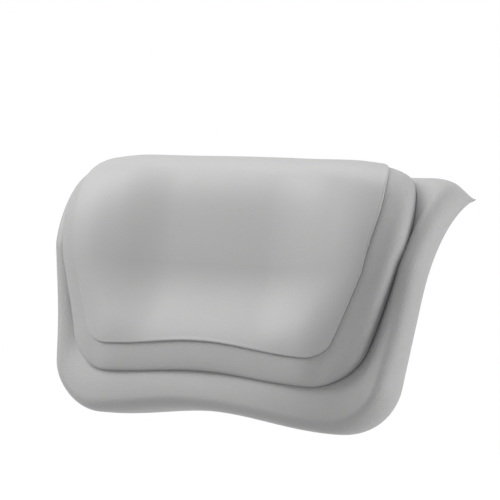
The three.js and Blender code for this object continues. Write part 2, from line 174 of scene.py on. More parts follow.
# %% Sizes of the outlines
MIDDLE_TOP = 207.6 * MM
PAD_TOP = 193 * MM
PLATE_SHAPE = dict(foot=17 * MM, top=115 * MM, arch=6 * MM, corner_x=96 * MM, corner=14 * MM,
                   taper=math.radians(8.5), flare=0, shoulder=12 * MM)
BASE_SHAPE = dict(foot=-1.2 * MM, top=TOP, arch=9.6 * MM, corner_x=110.5 * MM, corner=50 * MM,
                  taper=math.radians(8.5), flare=1.5 * MM, shoulder=3 * MM)
MIDDLE_SHAPE = dict(foot=35.3 * MM, top=MIDDLE_TOP, arch=5.7 * MM, corner_x=94 * MM, corner=46 * MM,
                    taper=math.radians(15.5), flare=0, shoulder=46 * MM)
PAD_SHAPE = dict(foot=58 * MM, top=PAD_TOP, arch=7 * MM, corner_x=92 * MM, corner=25 * MM,
                 taper=math.radians(19.8), flare=0, shoulder=34 * MM)
SHAPES = {"plate": PLATE_SHAPE, "base": BASE_SHAPE, "middle": MIDDLE_SHAPE, "pad": PAD_SHAPE}
for label, shape in SHAPES.items():
    print(label, "outline from", round(shape["foot"] / MM, 1), "to", round(shape["top"] / MM, 1), "mm")

# %% [markdown]
# One function turns those eight values into a loop of points. It draws five stretches for one half and
# mirrors them. Each stretch has its own fixed number of steps, so every outline has its points in the
# same order, and any two can be blended point by point. Such a blend makes the roll of a cushion. An
# inset draws an outline in by the same width all round, as an offset does.

# %% Outlines as loops of points
STEPS = {"bottom": 40, "corner": 24, "side": 34, "shoulder": 24, "top": 26}
LEAST_RADIUS = 1 * MM


def slanted_side(shape):
    """A side as a line on which x * cos - height * sin is the same: cos, sin and that value."""
    cos, sin = math.cos(shape["taper"]), math.sin(shape["taper"])
    return cos, sin, shape["corner_x"] * cos - (shape["foot"] + shape["corner"]) * sin + shape["corner"]


def outline(shape, inset=0.0):
    """Closed loops of a shape at one or more insets, anticlockwise from the middle of the bottom.

    Half a loop is an arch, an arc, a slanted line, an arc and a level line, and the other half mirrors
    it. The arch is half a wave of a cosine, and the line bends by flare * (s^2 - s) for the share s
    of its length. Returns x and the height along the back, each of shape (insets, points).
    """
    inset = np.atleast_1d(inset).astype(float)[:, None]
    cos, sin, side = slanted_side(shape)
    side = side - inset
    corner = np.maximum(shape["corner"] - inset, LEAST_RADIUS)
    shoulder = np.maximum(shape["shoulder"] - inset, LEAST_RADIUS)
    corner_z = shape["foot"] + inset + corner
    corner_x = (side - corner + corner_z * sin) / cos
    shoulder_z = shape["top"] - inset - shoulder
    shoulder_x = (side - shoulder + shoulder_z * sin) / cos + shape["flare"]
    share = {part: (np.arange(count) / count)[None] for part, count in STEPS.items()}
    arch = shape["arch"] * (1 + np.cos(np.pi * share["bottom"])) / 2
    low_turn = -RIGHT_ANGLE + (RIGHT_ANGLE - shape["taper"]) * share["corner"]
    high_turn = -shape["taper"] + (RIGHT_ANGLE + shape["taper"]) * share["shoulder"]
    low_x, low_z = corner_x + corner * cos, corner_z - corner * sin
    high_x, high_z = shoulder_x + shoulder * cos, shoulder_z - shoulder * sin
    flare = shape["flare"] * (share["side"] ** 2 - share["side"])
    last = np.append(share["top"], [[1.0]], 1)
    x = np.concatenate([
        corner_x * share["bottom"],
        corner_x + corner * np.cos(low_turn),
        low_x + (high_x - low_x) * share["side"] + flare,
        shoulder_x + shoulder * np.cos(high_turn),
        shoulder_x * (1 - last),
    ], 1)
    along = np.concatenate([
        shape["foot"] + inset + arch,
        corner_z + corner * np.sin(low_turn),
        low_z + (high_z - low_z) * share["side"],
        shoulder_z + shoulder * np.sin(high_turn),
        shape["top"] - inset + 0 * last,
    ], 1)
    mirror = slice(-2, 0, -1)
    return np.concatenate([x, -x[:, mirror]], 1), np.concatenate([along, along[:, mirror]], 1)


for label, shape in SHAPES.items():
    loop_x, loop_along = outline(shape)
    print(label, "outline", loop_x.size, "points,", round(np.ptp(loop_x) / MM, 1), "mm wide and",
          round(np.ptp(loop_along) / MM, 1), "mm long")

# %% [markdown]
# The head pad's edge lies in the middle cushion's crest, so both pieces are built on one surface. It
# could be modelled twice and fitted afterwards. One function for both is chosen, because then they
# stay together whatever is changed. The crest is a plain profile with four changes: it stands forward
# of the profile below the pad's top, rolls forward again where the neck lies, falls back towards the
# pad's sides, and sags at its top towards the shoulders.

# %% The crest under the head pad
MIDDLE_DEPTH = 47.4 * MM
FRONT_STRAIGHT = 131.5 * MM
MIDDLE_HANDLE = 60 * MM
MIDDLE_TOP_HANDLE = 50 * MM
MIDDLE_TOP_LEAN = math.radians(34)
TOP_OVERLAP = 1.5 * MM
CREST_RISE = 10.5 * MM
RISE_DIRECTION = np.array([-1, 0.05])
RISE_HEIGHTS = (PAD_TOP, 166 * MM)
NECK_ROLL = 4.5 * MM
NECK_HEIGHT = 50 * MM
NECK_SPREAD = 33 * MM
NECK_HALF_WIDTH = 165 * MM
CREST_FALL = 3.5 * MM
FALL_DIRECTION = np.array([1, -0.4])
FALL_FROM_SHARE = 0.76
FALL_HEIGHTS = (200 * MM, 160 * MM)
TOP_SAG = 3.6 * MM
SAG_HALF_WIDTH = 145 * MM
SAG_HEIGHTS = (133 * MM, 160 * MM)
middle_end = plain_front(np.array(MIDDLE_TOP)) + TOP_OVERLAP * np.array([-1, 1])
shell_front = front_curve(MIDDLE_DEPTH, FRONT_STRAIGHT, MIDDLE_HANDLE, middle_end,
                          MIDDLE_TOP_HANDLE, MIDDLE_TOP_LEAN, MIDDLE_TOP)


def pad_half_width(along):
    """Half the head pad's width at a height: the x of its slanted side, (side + height * sin) / cos."""
    cos, sin, side = slanted_side(PAD_SHAPE)
    return (side + along * sin) / cos


def crest_front(x, along):
    """The middle cushion's crest, where the head pad's edge lies.

    It is the shell, plus a rise that is eased away over RISE_HEIGHTS, plus the neck's roll, a bell in
    height and a plateau across. Towards the pad's sides it falls by the square of the way from
    FALL_FROM_SHARE of the half width to the edge, and its top sags by the square of x.
    """
    rise = CREST_RISE * eased(along, *RISE_HEIGHTS)
    side = shell_front(along) + rise[..., None] * RISE_DIRECTION
    side[..., 0] -= NECK_ROLL * plateau(x, NECK_HALF_WIDTH) * bell(along, NECK_HEIGHT, NECK_SPREAD)
    near = (np.abs(x) / pad_half_width(along) - FALL_FROM_SHARE) / (1 - FALL_FROM_SHARE)
    fall = CREST_FALL * np.clip(near, 0, 1) ** 2 * eased(along, *FALL_HEIGHTS)
    side += fall[..., None] * FALL_DIRECTION
    side[..., 1] -= TOP_SAG * (x / SAG_HALF_WIDTH) ** 2 * eased(along, *SAG_HEIGHTS)
    return side


neck_crest = crest_front(np.zeros(1), np.array([NECK_HEIGHT]))[0]
print("crest", round(-neck_crest[0] / MM, 1), "mm in front of the back where the neck lies")

# %% [markdown]
# A cushion's skin is a stack of rings that runs from the middle of its back, round its side and on to
# the middle of its front. Every ring is a loop seen from the front, laid on a surface seen from the
# side. The sides of the whole pillow sweep a little forward, to cup the shoulders. A lattice could bend
# the finished cushions. The sweep is a plain sum here, added when the points are placed in the frame,
# because all the cushions then bend alike and keep their gaps.

# %% Placing rings
FLAT_HALF_WIDTH = 120 * MM
SWEEP_RUN = 60 * MM
SIDE_SWEEP = 6 * MM


def place(x, side):
    """Points in the frame, from x and from depth and height: y is the depth less a squared sweep."""
    sweep = SIDE_SWEEP * (np.clip(np.abs(x) - FLAT_HALF_WIDTH, 0, None) / SWEEP_RUN) ** 2
    return np.stack([x, side[..., 0] - sweep - STAND_OFF, side[..., 1] + BOTTOM], -1)


def sunk(side, depth):
    """The same surface, set back by a depth."""
    moved = side.copy()
    moved[..., 0] += depth
    return moved


def lifted(side, along, height):
    """The same surface, moved outwards: forward where it is upright and upwards where it is level.

    The direction turns from forward to up, eased through a right angle, as the front bends back.
    """
    lean = RIGHT_ANGLE * eased(along, FRONT_STRAIGHT, MIDDLE_TOP)
    away = np.stack([-np.cos(lean), np.sin(lean)], -1)
    return side + np.broadcast_to(height, along.shape)[..., None] * away


print("sides swept forward by", round(SIDE_SWEEP / MM, 1), "mm,",
      round((FLAT_HALF_WIDTH + SWEEP_RUN) / MM), "mm from the middle")

# %% [markdown]
# Most rings lie between two outlines, or are an outline that shrinks towards the middle of a face. A
# cushion also behaves differently on its sides than along its foot, so a measure is needed of how far
# each point of a loop looks sideways.

# %% Loops between loops
def blend(first, second, shares):
    """Loops between two loops (x, along): first + (second - first) * shares, one row for each loop."""
    return tuple(start + (end - start) * shares for start, end in zip(first, second))


def drawn_in(loop, shares):
    """Loops shrunk towards the middle of a face, at the given shares of the full size."""
    x, along = loop
    middle = (along.min() + along.max()) / 2
    return x * shares[:, None], middle + (along - middle) * shares[:, None]


def facing_out(loop):
    """How far each point of a loop looks sideways: 0 along the bottom and the top, 1 on the sides.

    It is the share of height in the step from the point before to the point after.
    """
    step_x, step_along = (np.roll(part, -1, 1) - np.roll(part, 1, 1) for part in loop)
    return np.abs(step_along) / np.hypot(step_x, step_along)


print("base outline looks sideways by", round(float(facing_out(outline(BASE_SHAPE)).max()), 2), "at most")

# %% [markdown]
# The rings could be joined with the bridge tool by hand. Here they are joined by their numbers, because
# every ring has as many points as the next one, and a fan of triangles round a pole closes each end.
# All the faces are made in one go from whole arrays, which is much quicker than a loop over them.

# %% Joining rings
def skin(name, rows):
    """A closed mesh from rings of points (rings, points, 3), with one point at each end as its pole.

    Face number r, p joins the points p and p + 1 of ring r to those of ring r + 1.
    """
    rings, count = rows.shape[:2]
    verts = np.concatenate([rows.reshape(-1, 3), rows[:1].mean(1), rows[-1:].mean(1)])
    ring, point = np.meshgrid(np.arange(rings - 1), np.arange(count), indexing="ij")
    following = (point + 1) % count
    corners = [ring * count + point, ring * count + following,
               (ring + 1) * count + following, (ring + 1) * count + point]
    quads = np.stack(corners, -1).reshape(-1, 4)
    here, after = np.arange(count), (np.arange(count) + 1) % count
    last = (rings - 1) * count
    start = np.stack([after, here, np.full(count, rings * count)], -1)
    end = np.stack([last + here, last + after, np.full(count, rings * count + 1)], -1)
    mesh = bpy.data.meshes.new(name)
    mesh.from_pydata(verts.tolist(), [], quads.tolist() + start.tolist() + end.tolist())
    mesh.polygons.foreach_set("use_smooth", np.ones(len(mesh.polygons), bool))
    mesh.validate()
    mesh.update()
    piece = bpy.data.objects.new(name, mesh)
    bpy.context.scene.collection.objects.link(piece)
    print(name, rings, "rings,", len(mesh.polygons), "faces")
    return piece


print("each ring has", outline(BASE_SHAPE)[0].size, "points")

# %% [markdown]
# The base cushion's back is flat, with a pocket that the plate sits in. It could be cut with a boolean.
# The pocket's floor and rounded edge are simply the first rings here, because that leaves clean faces
# round it. A hidden face like this floor still has to be there, or the cushion would be an open shell.

# %% Base cushion: pocket
POCKET_DEPTH = 12.7 * MM
POCKET_EDGE = 1.2 * MM
PLATE_GAP = 0.3 * MM
POCKET_INNER_SHARE = 0.05
POCKET_RINGS = 8
POCKET_EDGE_RINGS = 5


def pocket_rows():
    """Rings of the pocket: its flat floor, then its edge as a quarter circle.

    The edge's inset is edge * (1 - cos a) outwards and its depth is edge * (1 - sin a), for a from 0
    to a right angle.
    """
    x, along = drawn_in(outline(PLATE_SHAPE, -PLATE_GAP), np.linspace(POCKET_INNER_SHARE, 1, POCKET_RINGS))
    floor = place(x, sunk(back_curve(along), -POCKET_DEPTH))
    angle = np.linspace(0, RIGHT_ANGLE, POCKET_EDGE_RINGS)
    x, along = outline(PLATE_SHAPE, -PLATE_GAP - POCKET_EDGE * (1 - np.cos(angle)))
    edge = place(x, sunk(back_curve(along), -POCKET_EDGE * (1 - np.sin(angle))[:, None]))
    return [floor, edge]


print("pocket", round(POCKET_DEPTH / MM, 1), "mm deep")

# %% [markdown]
# Moulded foam has no sharp side: the base cushion rolls from its back to its front in a full round,
# drawn in at the back, where the wall hides it. A bevel would round the two edges and leave a flat
# between them. An ellipse from the back to the front is chosen, because it has no flat and no edge.
# Along the foot the underside stays flat, and only its front edge rolls, in a short turn.

# %% Base cushion: back and round side
BASE_ROLL = 12 * MM
BASE_UNDERCUT = math.radians(29)
FOOT_POWER = 0.4
FOOT_POWER_HEIGHTS = (25 * MM, 60 * MM)
BACK_RINGS = 26
BASE_ROLL_RINGS = 30


def base_side_rows():
    """Rings of the flat back, from the pocket outwards, and of the round side.

    The side's inset is roll * (1 - cos a) and its level from back to front is sin a, for a from minus
    the undercut to a right angle, stretched so that it starts at the back. Along the foot the level
    is sin a to a power below 1, which keeps the foot flat and rolls its front in a short turn.
    """
    root = BASE_ROLL * (1 - math.cos(BASE_UNDERCUT))
    share = np.linspace(0, 1, BACK_RINGS)[1:-1, None]
    x, along = blend(outline(PLATE_SHAPE, -PLATE_GAP - POCKET_EDGE), outline(BASE_SHAPE, root), share)
    back = place(x, back_curve(along))
    angle = np.linspace(-BASE_UNDERCUT, RIGHT_ANGLE, BASE_ROLL_RINGS)
    rim = outline(BASE_SHAPE)
    upright = np.maximum(facing_out(rim), eased(rim[1], *FOOT_POWER_HEIGHTS))
    power = FOOT_POWER + (1 - FOOT_POWER) * upright
    sine = np.sin(angle)[:, None]
    raised = np.where(sine > 0, np.abs(sine) ** power, sine)
    start = -math.sin(BASE_UNDERCUT)
    level = (raised - start) / (1 - start)
    x, along = outline(BASE_SHAPE, BASE_ROLL * (1 - np.cos(angle)))
    side = place(x, between(back_curve(along), base_front(x, along), level))
    return [back, side]


print("base cushion's side rolls over", round(BASE_ROLL / MM, 1), "mm")

# %% [markdown]
# What shows of the base cushion's front is a border round the middle cushion. Beside that cushion the
# border dips into a groove, which reads as the dark line between the two. The line could be painted.
# A real groove is chosen, because it shades rightly from every side. Under the middle cushion the skin
# goes on as a hidden seat, set back so that the two cushions never cross.

# %% Base cushion: border, groove and seat
GROOVE = 6 * MM
GROOVE_HEIGHTS = (196 * MM, 150 * MM)
GROOVE_SIDES = (95 * MM, 160 * MM)
GROOVE_FOOT_SHARE = 0.05
GROOVE_SHARPNESS = 2.5
MIDDLE_FOOT_INSET = 0.8 * MM
SEAT_INSET = 1 * MM
SEAT_DEPTH = 8 * MM
HIDDEN_INNER_SHARE = 0.1
BORDER_RINGS = 18
SEAT_RINGS = 5


def groove(x, along):
    """Depth of the groove round the middle cushion: a small share of it along the foot, eased to the
    whole over GROOVE_SIDES, and eased away over GROOVE_HEIGHTS."""
    beside = GROOVE_FOOT_SHARE + (1 - GROOVE_FOOT_SHARE) * eased(np.abs(x), *GROOVE_SIDES)
    return GROOVE * beside * eased(along, *GROOVE_HEIGHTS)


def border_rows():
    """Rings of the border and of the hidden seat.

    The border dips by the groove times a power of the share of the way in.
    """
    share = np.linspace(0, 1, BORDER_RINGS)[1:, None]
    x, along = blend(outline(BASE_SHAPE, BASE_ROLL), outline(MIDDLE_SHAPE, MIDDLE_FOOT_INSET), share)
    border = place(x, sunk(base_front(x, along), groove(x, along) * share ** GROOVE_SHARPNESS))
    share = np.linspace(1, HIDDEN_INNER_SHARE, SEAT_RINGS)
    x, along = drawn_in(outline(MIDDLE_SHAPE, MIDDLE_FOOT_INSET + SEAT_INSET), share)
    seat = place(x, sunk(base_front(x, along), SEAT_DEPTH))
    return [border, seat]


base = skin("base_foam", np.concatenate(pocket_rows() + base_side_rows() + border_rows()))

# %% [markdown]
# The middle cushion is a bullnose: a short undercut foot in the groove, a waist that overhangs the
# base, and one long round turn up to the head pad. A bevel on a block gives the same turn everywhere.
# Here a power on the sine and cosine of the turn squares it along the foot, where the cushion is full,
# and leaves it round on the flanks.

# %% Middle cushion: foot and roll
WAIST_LEVEL = 0.05
FOOT_GAP = 0.3 * MM
FLOOR_GAP = 1 * MM
FLOOR_SIDE_GAP = 0.5 * MM
ROLL_POWER_FOOT = 0.55
ROLL_POWER_FLANK = 0.8
ROLL_POWER_HEIGHTS = (70 * MM, 110 * MM)
CREASE_WIDTH = 0.5 * MM
CREASE_TURN = math.radians(86)
CREASE_TURN_SIDE = math.radians(60)
MIDDLE_FOOT_RINGS = 12
MIDDLE_ROLL_RINGS = 37


def waist(x, along):
    """The middle cushion's waist: at WAIST_LEVEL between the base's front and the crest."""
    return between(base_front(x, along), crest_front(x, along), WAIST_LEVEL)


def middle_foot_rows():
    """Rings of the hidden floor, a gap above the base's seat, and of the foot out to the waist.

    The foot is a quarter ellipse: its inset is the foot's inset * (1 - cos a) and its level is
    1 + sin a, for a from minus a right angle to 0.
    """
    share = np.linspace(HIDDEN_INNER_SHARE, 1, SEAT_RINGS)
    edge = outline(MIDDLE_SHAPE, MIDDLE_FOOT_INSET + SEAT_INSET + FLOOR_SIDE_GAP)
    x, along = drawn_in(edge, share)
    floor = place(x, sunk(base_front(x, along), SEAT_DEPTH - FLOOR_GAP))
    angle = np.linspace(-RIGHT_ANGLE, 0, MIDDLE_FOOT_RINGS)
    x, along = outline(MIDDLE_SHAPE, MIDDLE_FOOT_INSET * (1 - np.cos(angle)))
    root = sunk(base_front(x, along), groove(x, along) - FOOT_GAP)
    foot = place(x, between(root, waist(x, along), (1 + np.sin(angle))[:, None]))
    return [floor, foot]


def middle_roll_rows():
    """Rings of the roll, which blends the waist's outline into the head pad's.

    With p the power and l the last angle, the outline moves by (1 - cos^p a) / (1 - cos^p l), and the
    level climbs from the waist to the crest by (sin a / sin l)^p. The last angle stays below a right
    angle, most of all on the sides, so that the crease lies in a surface that already turns outwards.
    """
    outer, inner = outline(MIDDLE_SHAPE), outline(PAD_SHAPE, CREASE_WIDTH)
    sideways = facing_out(outer)
    last = CREASE_TURN + (CREASE_TURN_SIDE - CREASE_TURN) * sideways
    angle = np.linspace(0, 1, MIDDLE_ROLL_RINGS)[1:, None] * last
    start, end = ROLL_POWER_HEIGHTS
    above = np.clip((outer[1] - start) / (end - start), 0, 1)
    flank = 1 + (ROLL_POWER_FLANK - 1) * sideways * above
    power = ROLL_POWER_FOOT + (flank - ROLL_POWER_FOOT) * np.maximum(above, sideways)
    x, along = blend(outer, inner, (1 - np.cos(angle) ** power) / (1 - np.cos(last) ** power))
    level = (np.sin(angle) / np.sin(last)) ** power
    return [place(x, between(waist(x, along), crest_front(x, along), level))]


print("middle cushion", round(2 * outline(MIDDLE_SHAPE)[0].max() / MM, 1), "mm wide")

# %% [markdown]
# The head pad is let into the middle cushion: a narrow crease runs round it, and below it the middle
# cushion has a hidden seat. The seat follows the pad's dish, because a flat seat would come through
# the dish at its deepest place or need a much thicker pad.

# %% Middle cushion: crease and seat
CREASE_DEPTH = 2.2 * MM
CREASE_WIDTH_SHARES = np.array([1.5, 2, 2.5])
CREASE_DEPTH_SHARES = np.array([0.4, 0.8, 1])
PAD_DISH = 14 * MM
PAD_SEAT_INSET = 3 * CREASE_WIDTH
PAD_SEAT_DEPTH = 6 * MM
PAD_SEAT_RINGS = 8


def bowl(x, along):
    """The head pad's dish as a share of its depth: a plateau across, times the square of a sine in
    height, so that it is level at the pad's edge all round."""
    share = np.clip((along - PAD_SHAPE["foot"]) / (PAD_TOP - PAD_SHAPE["foot"]), 0, 1)
    return plateau(x, pad_half_width(along)) * np.sin(np.pi * share) ** 2


def crease_rows():
    """Rings down into the crease, then the hidden seat: the crest sunk by the crease and the dish."""
    x, along = outline(PAD_SHAPE, CREASE_WIDTH * CREASE_WIDTH_SHARES)
    depth = CREASE_DEPTH * CREASE_DEPTH_SHARES[:, None]
    crease = place(x, lifted(crest_front(x, along), along, -depth))
    share = np.linspace(1, HIDDEN_INNER_SHARE, PAD_SEAT_RINGS)
    x, along = drawn_in(outline(PAD_SHAPE, PAD_SEAT_INSET), share)
    depth = CREASE_DEPTH + PAD_SEAT_DEPTH + PAD_DISH * bowl(x, along)
    seat = place(x, lifted(crest_front(x, along), along, -depth))
    return [crease, seat]


middle = skin("middle_foam", np.concatenate(middle_foot_rows() + middle_roll_rows() + crease_rows()))

# %% [markdown]
# The head pad is a thin cushion with a crisp edge and a shallow dish, which is deepest in its middle.
# A crown along each side and a bump at the head of the dish make it a nest for the head. It could be
# sculpted with a large soft brush. Three formulas are added up instead, so that the dish stays even and
# the edge stays as thin as it is moulded.

# %% Head pad
PAD_ROOT_INSET = 0.3 * MM
PAD_ROOT_GAP = 0.3 * MM
PAD_STEP = 2.4 * MM
PAD_EDGE = 1.3 * MM
PAD_CROWN = 5 * MM
CROWN_SIDES = (45 * MM, 100 * MM)
CROWN_SHARPNESS = 4
TOP_BUMP = 4 * MM
TOP_BUMP_HEIGHT = 168 * MM
TOP_BUMP_SPREAD = 20 * MM
FACE_INNER_SHARE = 0.01
PAD_ROOT_RINGS = 8
PAD_EDGE_RINGS = 8
FACE_RINGS = 48


def pad_rise(x, along, share):
    """How far the pad's face stands in front of the crest, for the share of the way to its edge.

    It is a step, plus a crown eased in over CROWN_SIDES and a bell at TOP_BUMP_HEIGHT, which both
    fall by 1 - share^4 towards the edge, less the dish.
    """
    crown = PAD_CROWN * eased(np.abs(x), *CROWN_SIDES)
    bump = TOP_BUMP * bell(along, TOP_BUMP_HEIGHT, TOP_BUMP_SPREAD)
    fall = 1 - share[:, None] ** CROWN_SHARPNESS
    return PAD_STEP + (crown + bump) * fall - PAD_DISH * bowl(x, along)


def pad_rows():
    """Rings of the head pad: a hidden root in the crease, a quarter circle as its edge, and its face.

    The edge's inset is edge * (1 - cos a) and its height is step - edge + edge * sin a.
    """
    share = np.linspace(HIDDEN_INNER_SHARE, 1, PAD_ROOT_RINGS)
    x, along = drawn_in(outline(PAD_SHAPE, PAD_ROOT_INSET), share)
    depth = CREASE_DEPTH - PAD_ROOT_GAP + PAD_DISH * bowl(x, along)
    root = place(x, lifted(crest_front(x, along), along, -depth))
    angle = np.linspace(0, RIGHT_ANGLE, PAD_EDGE_RINGS)
    x, along = outline(PAD_SHAPE, PAD_EDGE * (1 - np.cos(angle)))
    height = PAD_STEP - PAD_EDGE + PAD_EDGE * np.sin(angle)[:, None]
    edge = place(x, lifted(crest_front(x, along), along, height))
    share = np.linspace(1, FACE_INNER_SHARE, FACE_RINGS)[1:]
    x, along = drawn_in(outline(PAD_SHAPE, PAD_EDGE), share)
    face = place(x, lifted(crest_front(x, along), along, pad_rise(x, along, share)))
    return [root, edge, face]


pad = skin("head_pad_foam", np.concatenate(pad_rows()))

# %% [markdown]
# Each cushion rides the body of the pillow and takes the place of its solid in the frame.

# %% What the cushions stand for
for piece, node, slot in ((base, "base_cushion", "base_foam"), (middle, "middle_cushion", "middle_foam"),
                          (pad, "head_pad", "pad_foam")):
    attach(piece, "pillow")
    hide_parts(node)
    print(piece.name, "stands for", node)

# %% [markdown]
# The foam's skin takes the grain of its mould: small flat cells with soft valleys between them, as on
# leather, and a slow unevenness of tone. An image could be laid over it, but then it needs unwrapping
# and shows seams. A node group is chosen, because it works from the place of each point in space and
# serves every finish of the pillow with its own size and depth of cell. Its sockets come first.

# %% Grain group: sockets
def math_node(tree, operation, first, second):
    """A math node with each input linked to a socket or set to a number; returns its output."""
    node = tree.nodes.new("ShaderNodeMath")
    node.operation = operation
    for socket, value in zip(node.inputs, (first, second)):
        if isinstance(value, (int, float)):
            socket.default_value = value
        else:
            tree.links.new(value, socket)
    return node.outputs[0]


def new_group(name, inputs, outputs):
    """A shader node group with the named inputs and outputs: the group, its in node and its out node."""
    group = bpy.data.node_groups.new(name, "ShaderNodeTree")
    for direction, sockets in (("INPUT", inputs), ("OUTPUT", outputs)):
        for label, kind in sockets.items():
            group.interface.new_socket(label, in_out=direction, socket_type="NodeSocket" + kind)
    return group, group.nodes.new("NodeGroupInput"), group.nodes.new("NodeGroupOutput")


GRAIN, given, result = new_group(
    "moulded grain",
    {"Vector": "Vector", "Cells per metre": "Float", "Colour": "Color", "Tone": "Float",
     "Roughness": "Float"},
    {"Colour": "Color", "Roughness": "Float", "Height": "Float"},
)
print(GRAIN.name, "takes", [socket.name for socket in given.outputs if socket.name])

# %% [markdown]
# The height of the grain is what the bump reads. A Voronoi pattern gives the distance of each point to
# the nearest edge between two cells, so a valley is simply where that distance is small. Plain noise
# has no cells and looks like sand. A little of it is added on top, for the pores.

# %% Grain group: cells and valleys
VALLEY_SHARE = 0.22
FINE_PER_CELL = 2.2
FINE_DETAIL = 2
FINE_SHARE = 0.5


def noise(group, vector, detail):
    """A noise texture read at the given vector."""
    node = group.nodes.new("ShaderNodeTexNoise")
    node.inputs["Detail"].default_value = detail
    group.links.new(vector, node.inputs["Vector"])
    return node


def grain_height(group, vector, density):
    """The valleys' mask and the height: the distance to an edge, eased from 0 to 1 over VALLEY_SHARE
    of a cell, and that plus FINE_SHARE of a finer noise."""
    cells = group.nodes.new("ShaderNodeTexVoronoi")
    cells.feature = "DISTANCE_TO_EDGE"
    group.links.new(vector, cells.inputs["Vector"])
    group.links.new(density, cells.inputs["Scale"])
    valley = group.nodes.new("ShaderNodeMapRange")
    valley.interpolation_type = "SMOOTHSTEP"
    valley.inputs["From Max"].default_value = VALLEY_SHARE
    group.links.new(cells.outputs["Distance"], valley.inputs["Value"])
    fine = noise(group, vector, FINE_DETAIL)
    group.links.new(math_node(group, "MULTIPLY", density, FINE_PER_CELL), fine.inputs["Scale"])
    pores = math_node(group, "MULTIPLY", fine.outputs["Fac"], FINE_SHARE)
    return valley.outputs[0], math_node(group, "ADD", valley.outputs[0], pores)


valleys, height = grain_height(GRAIN, given.outputs["Vector"], given.outputs["Cells per metre"])
GRAIN.links.new(height, result.inputs["Height"])
print(len(GRAIN.nodes), "nodes with the height")

# %% [markdown]
# Foam is never quite one tone: the skin is a little lighter here and duller there, over a few
# centimetres. The same slow noise drives both, because a lighter patch of skin is also a glossier one.
# The valleys are a shade darker: that is painted shade, for the shadow that gathers in them.

# %% Grain group: tone, painted shade in the valleys and roughness
SLOW_PER_METRE = 22
SLOW_DETAIL = 3
PIT_SHARE = 0.03
ROUGH_SHARE = 1.5


def grain_tone(group, given, valleys):
    """The colour times 1 + swing - the painted valley shade, and the roughness less ROUGH_SHARE of
    the swing.

    The swing is slow noise about 0 times Tone. The valleys get a painted shade PIT_SHARE deep, for
    the shadow that gathers in them.
    """
    slow = noise(group, given.outputs["Vector"], SLOW_DETAIL)
    slow.inputs["Scale"].default_value = SLOW_PER_METRE
    about_zero = math_node(group, "SUBTRACT", slow.outputs["Fac"], 0.5)
    swing = math_node(group, "MULTIPLY", about_zero, given.outputs["Tone"])
    # painted shade: the grain's valleys are darkened by PIT_SHARE, for the shadow in them
    valley_shade = math_node(group, "MULTIPLY", math_node(group, "SUBTRACT", valleys, 1), PIT_SHARE)
    tone = math_node(group, "ADD", 1, math_node(group, "ADD", swing, valley_shade))
    scaled = group.nodes.new("ShaderNodeVectorMath")
    scaled.operation = "SCALE"
    group.links.new(given.outputs["Colour"], scaled.inputs[0])
    group.links.new(tone, scaled.inputs["Scale"])
    less = math_node(group, "MULTIPLY", swing, ROUGH_SHARE)
    return scaled.outputs[0], math_node(group, "SUBTRACT", given.outputs["Roughness"], less)


toned, dulled = grain_tone(GRAIN, given, valleys)
GRAIN.links.new(toned, result.inputs["Colour"])
GRAIN.links.new(dulled, result.inputs["Roughness"])
print(len(GRAIN.nodes), "nodes in all")

# %% [markdown]
# Every finish of the pillow is a moulded or rolled surface with some grain, so one function makes them
# all, and a finish is its colour, its roughness and its grain. Painting each by hand would give more
# freedom than plain moulded pieces need. The two foam skins come first: the same grey foam, with a
# smoother skin on the head pad, because it lies against the head.

# %% Foam skins
FOAM_GREY = (0.40, 0.40, 0.398)
PAD_GREY = (0.41, 0.41, 0.408)
TONE_SHARE = 0.04


def principled(name):
    """A new material, its node tree and its shader."""
    material = bpy.data.materials.new(name)
    material.use_nodes = True
    tree = material.node_tree
    return material, tree, tree.nodes["Principled BSDF"]


def grained(name, colour, roughness, cells, depth, strength, metal=0.0, clear=0.0):
    """A finish: the grain group on Object coordinates feeds colour, roughness and a bump of a depth."""
    material, tree, shader = principled(name)
    where = tree.nodes.new("ShaderNodeTexCoord")
    grain = tree.nodes.new("ShaderNodeGroup")
    grain.node_tree = GRAIN
    grain.inputs["Cells per metre"].default_value = cells
    grain.inputs["Colour"].default_value = (*colour, 1)
    grain.inputs["Tone"].default_value = TONE_SHARE
    grain.inputs["Roughness"].default_value = roughness
    bump = tree.nodes.new("ShaderNodeBump")
    bump.inputs["Strength"].default_value = strength
    bump.inputs["Distance"].default_value = depth
    tree.links.new(where.outputs["Object"], grain.inputs["Vector"])
    tree.links.new(grain.outputs["Height"], bump.inputs["Height"])
    tree.links.new(grain.outputs["Colour"], shader.inputs["Base Color"])
    tree.links.new(grain.outputs["Roughness"], shader.inputs["Roughness"])
    tree.links.new(bump.outputs["Normal"], shader.inputs["Normal"])
    shader.inputs["Metallic"].default_value = metal
    shader.inputs["Transmission Weight"].default_value = clear
    return material


foam_skin = grained("foam skin", FOAM_GREY, 0.52, cells=560, depth=0.2 * MM, strength=0.6)
pad_skin = grained("pad skin", PAD_GREY, 0.5, cells=560, depth=0.08 * MM, strength=0.35)
base.data.materials.append(foam_skin)
middle.data.materials.append(foam_skin)
pad.data.materials.append(pad_skin)
print(foam_skin.name, "on", base.name, "and", middle.name, "and", pad_skin.name, "on", pad.name)

# %% [markdown]
# Behind, the pieces keep the meshes of the frame and only take a finish. The plate and the sockets are
# moulded resin with a fine, dull grain. A plain grey would do from afar, but the grain breaks up the
# highlights, as on real mouldings.

# %% Plate and sockets
PLATE_GREY = (0.27, 0.275, 0.28)
SOCKET_GREY = (0.18, 0.185, 0.19)


def dress(start, finish):
    """Give a finish to every piece of the frame whose name begins with the given words."""
    pieces = [node for name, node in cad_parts.items() if name.startswith(start)]
    for piece in pieces:
        piece.data.materials.clear()
        piece.data.materials.append(finish)
    print(finish.name, "on", len(pieces), "pieces")


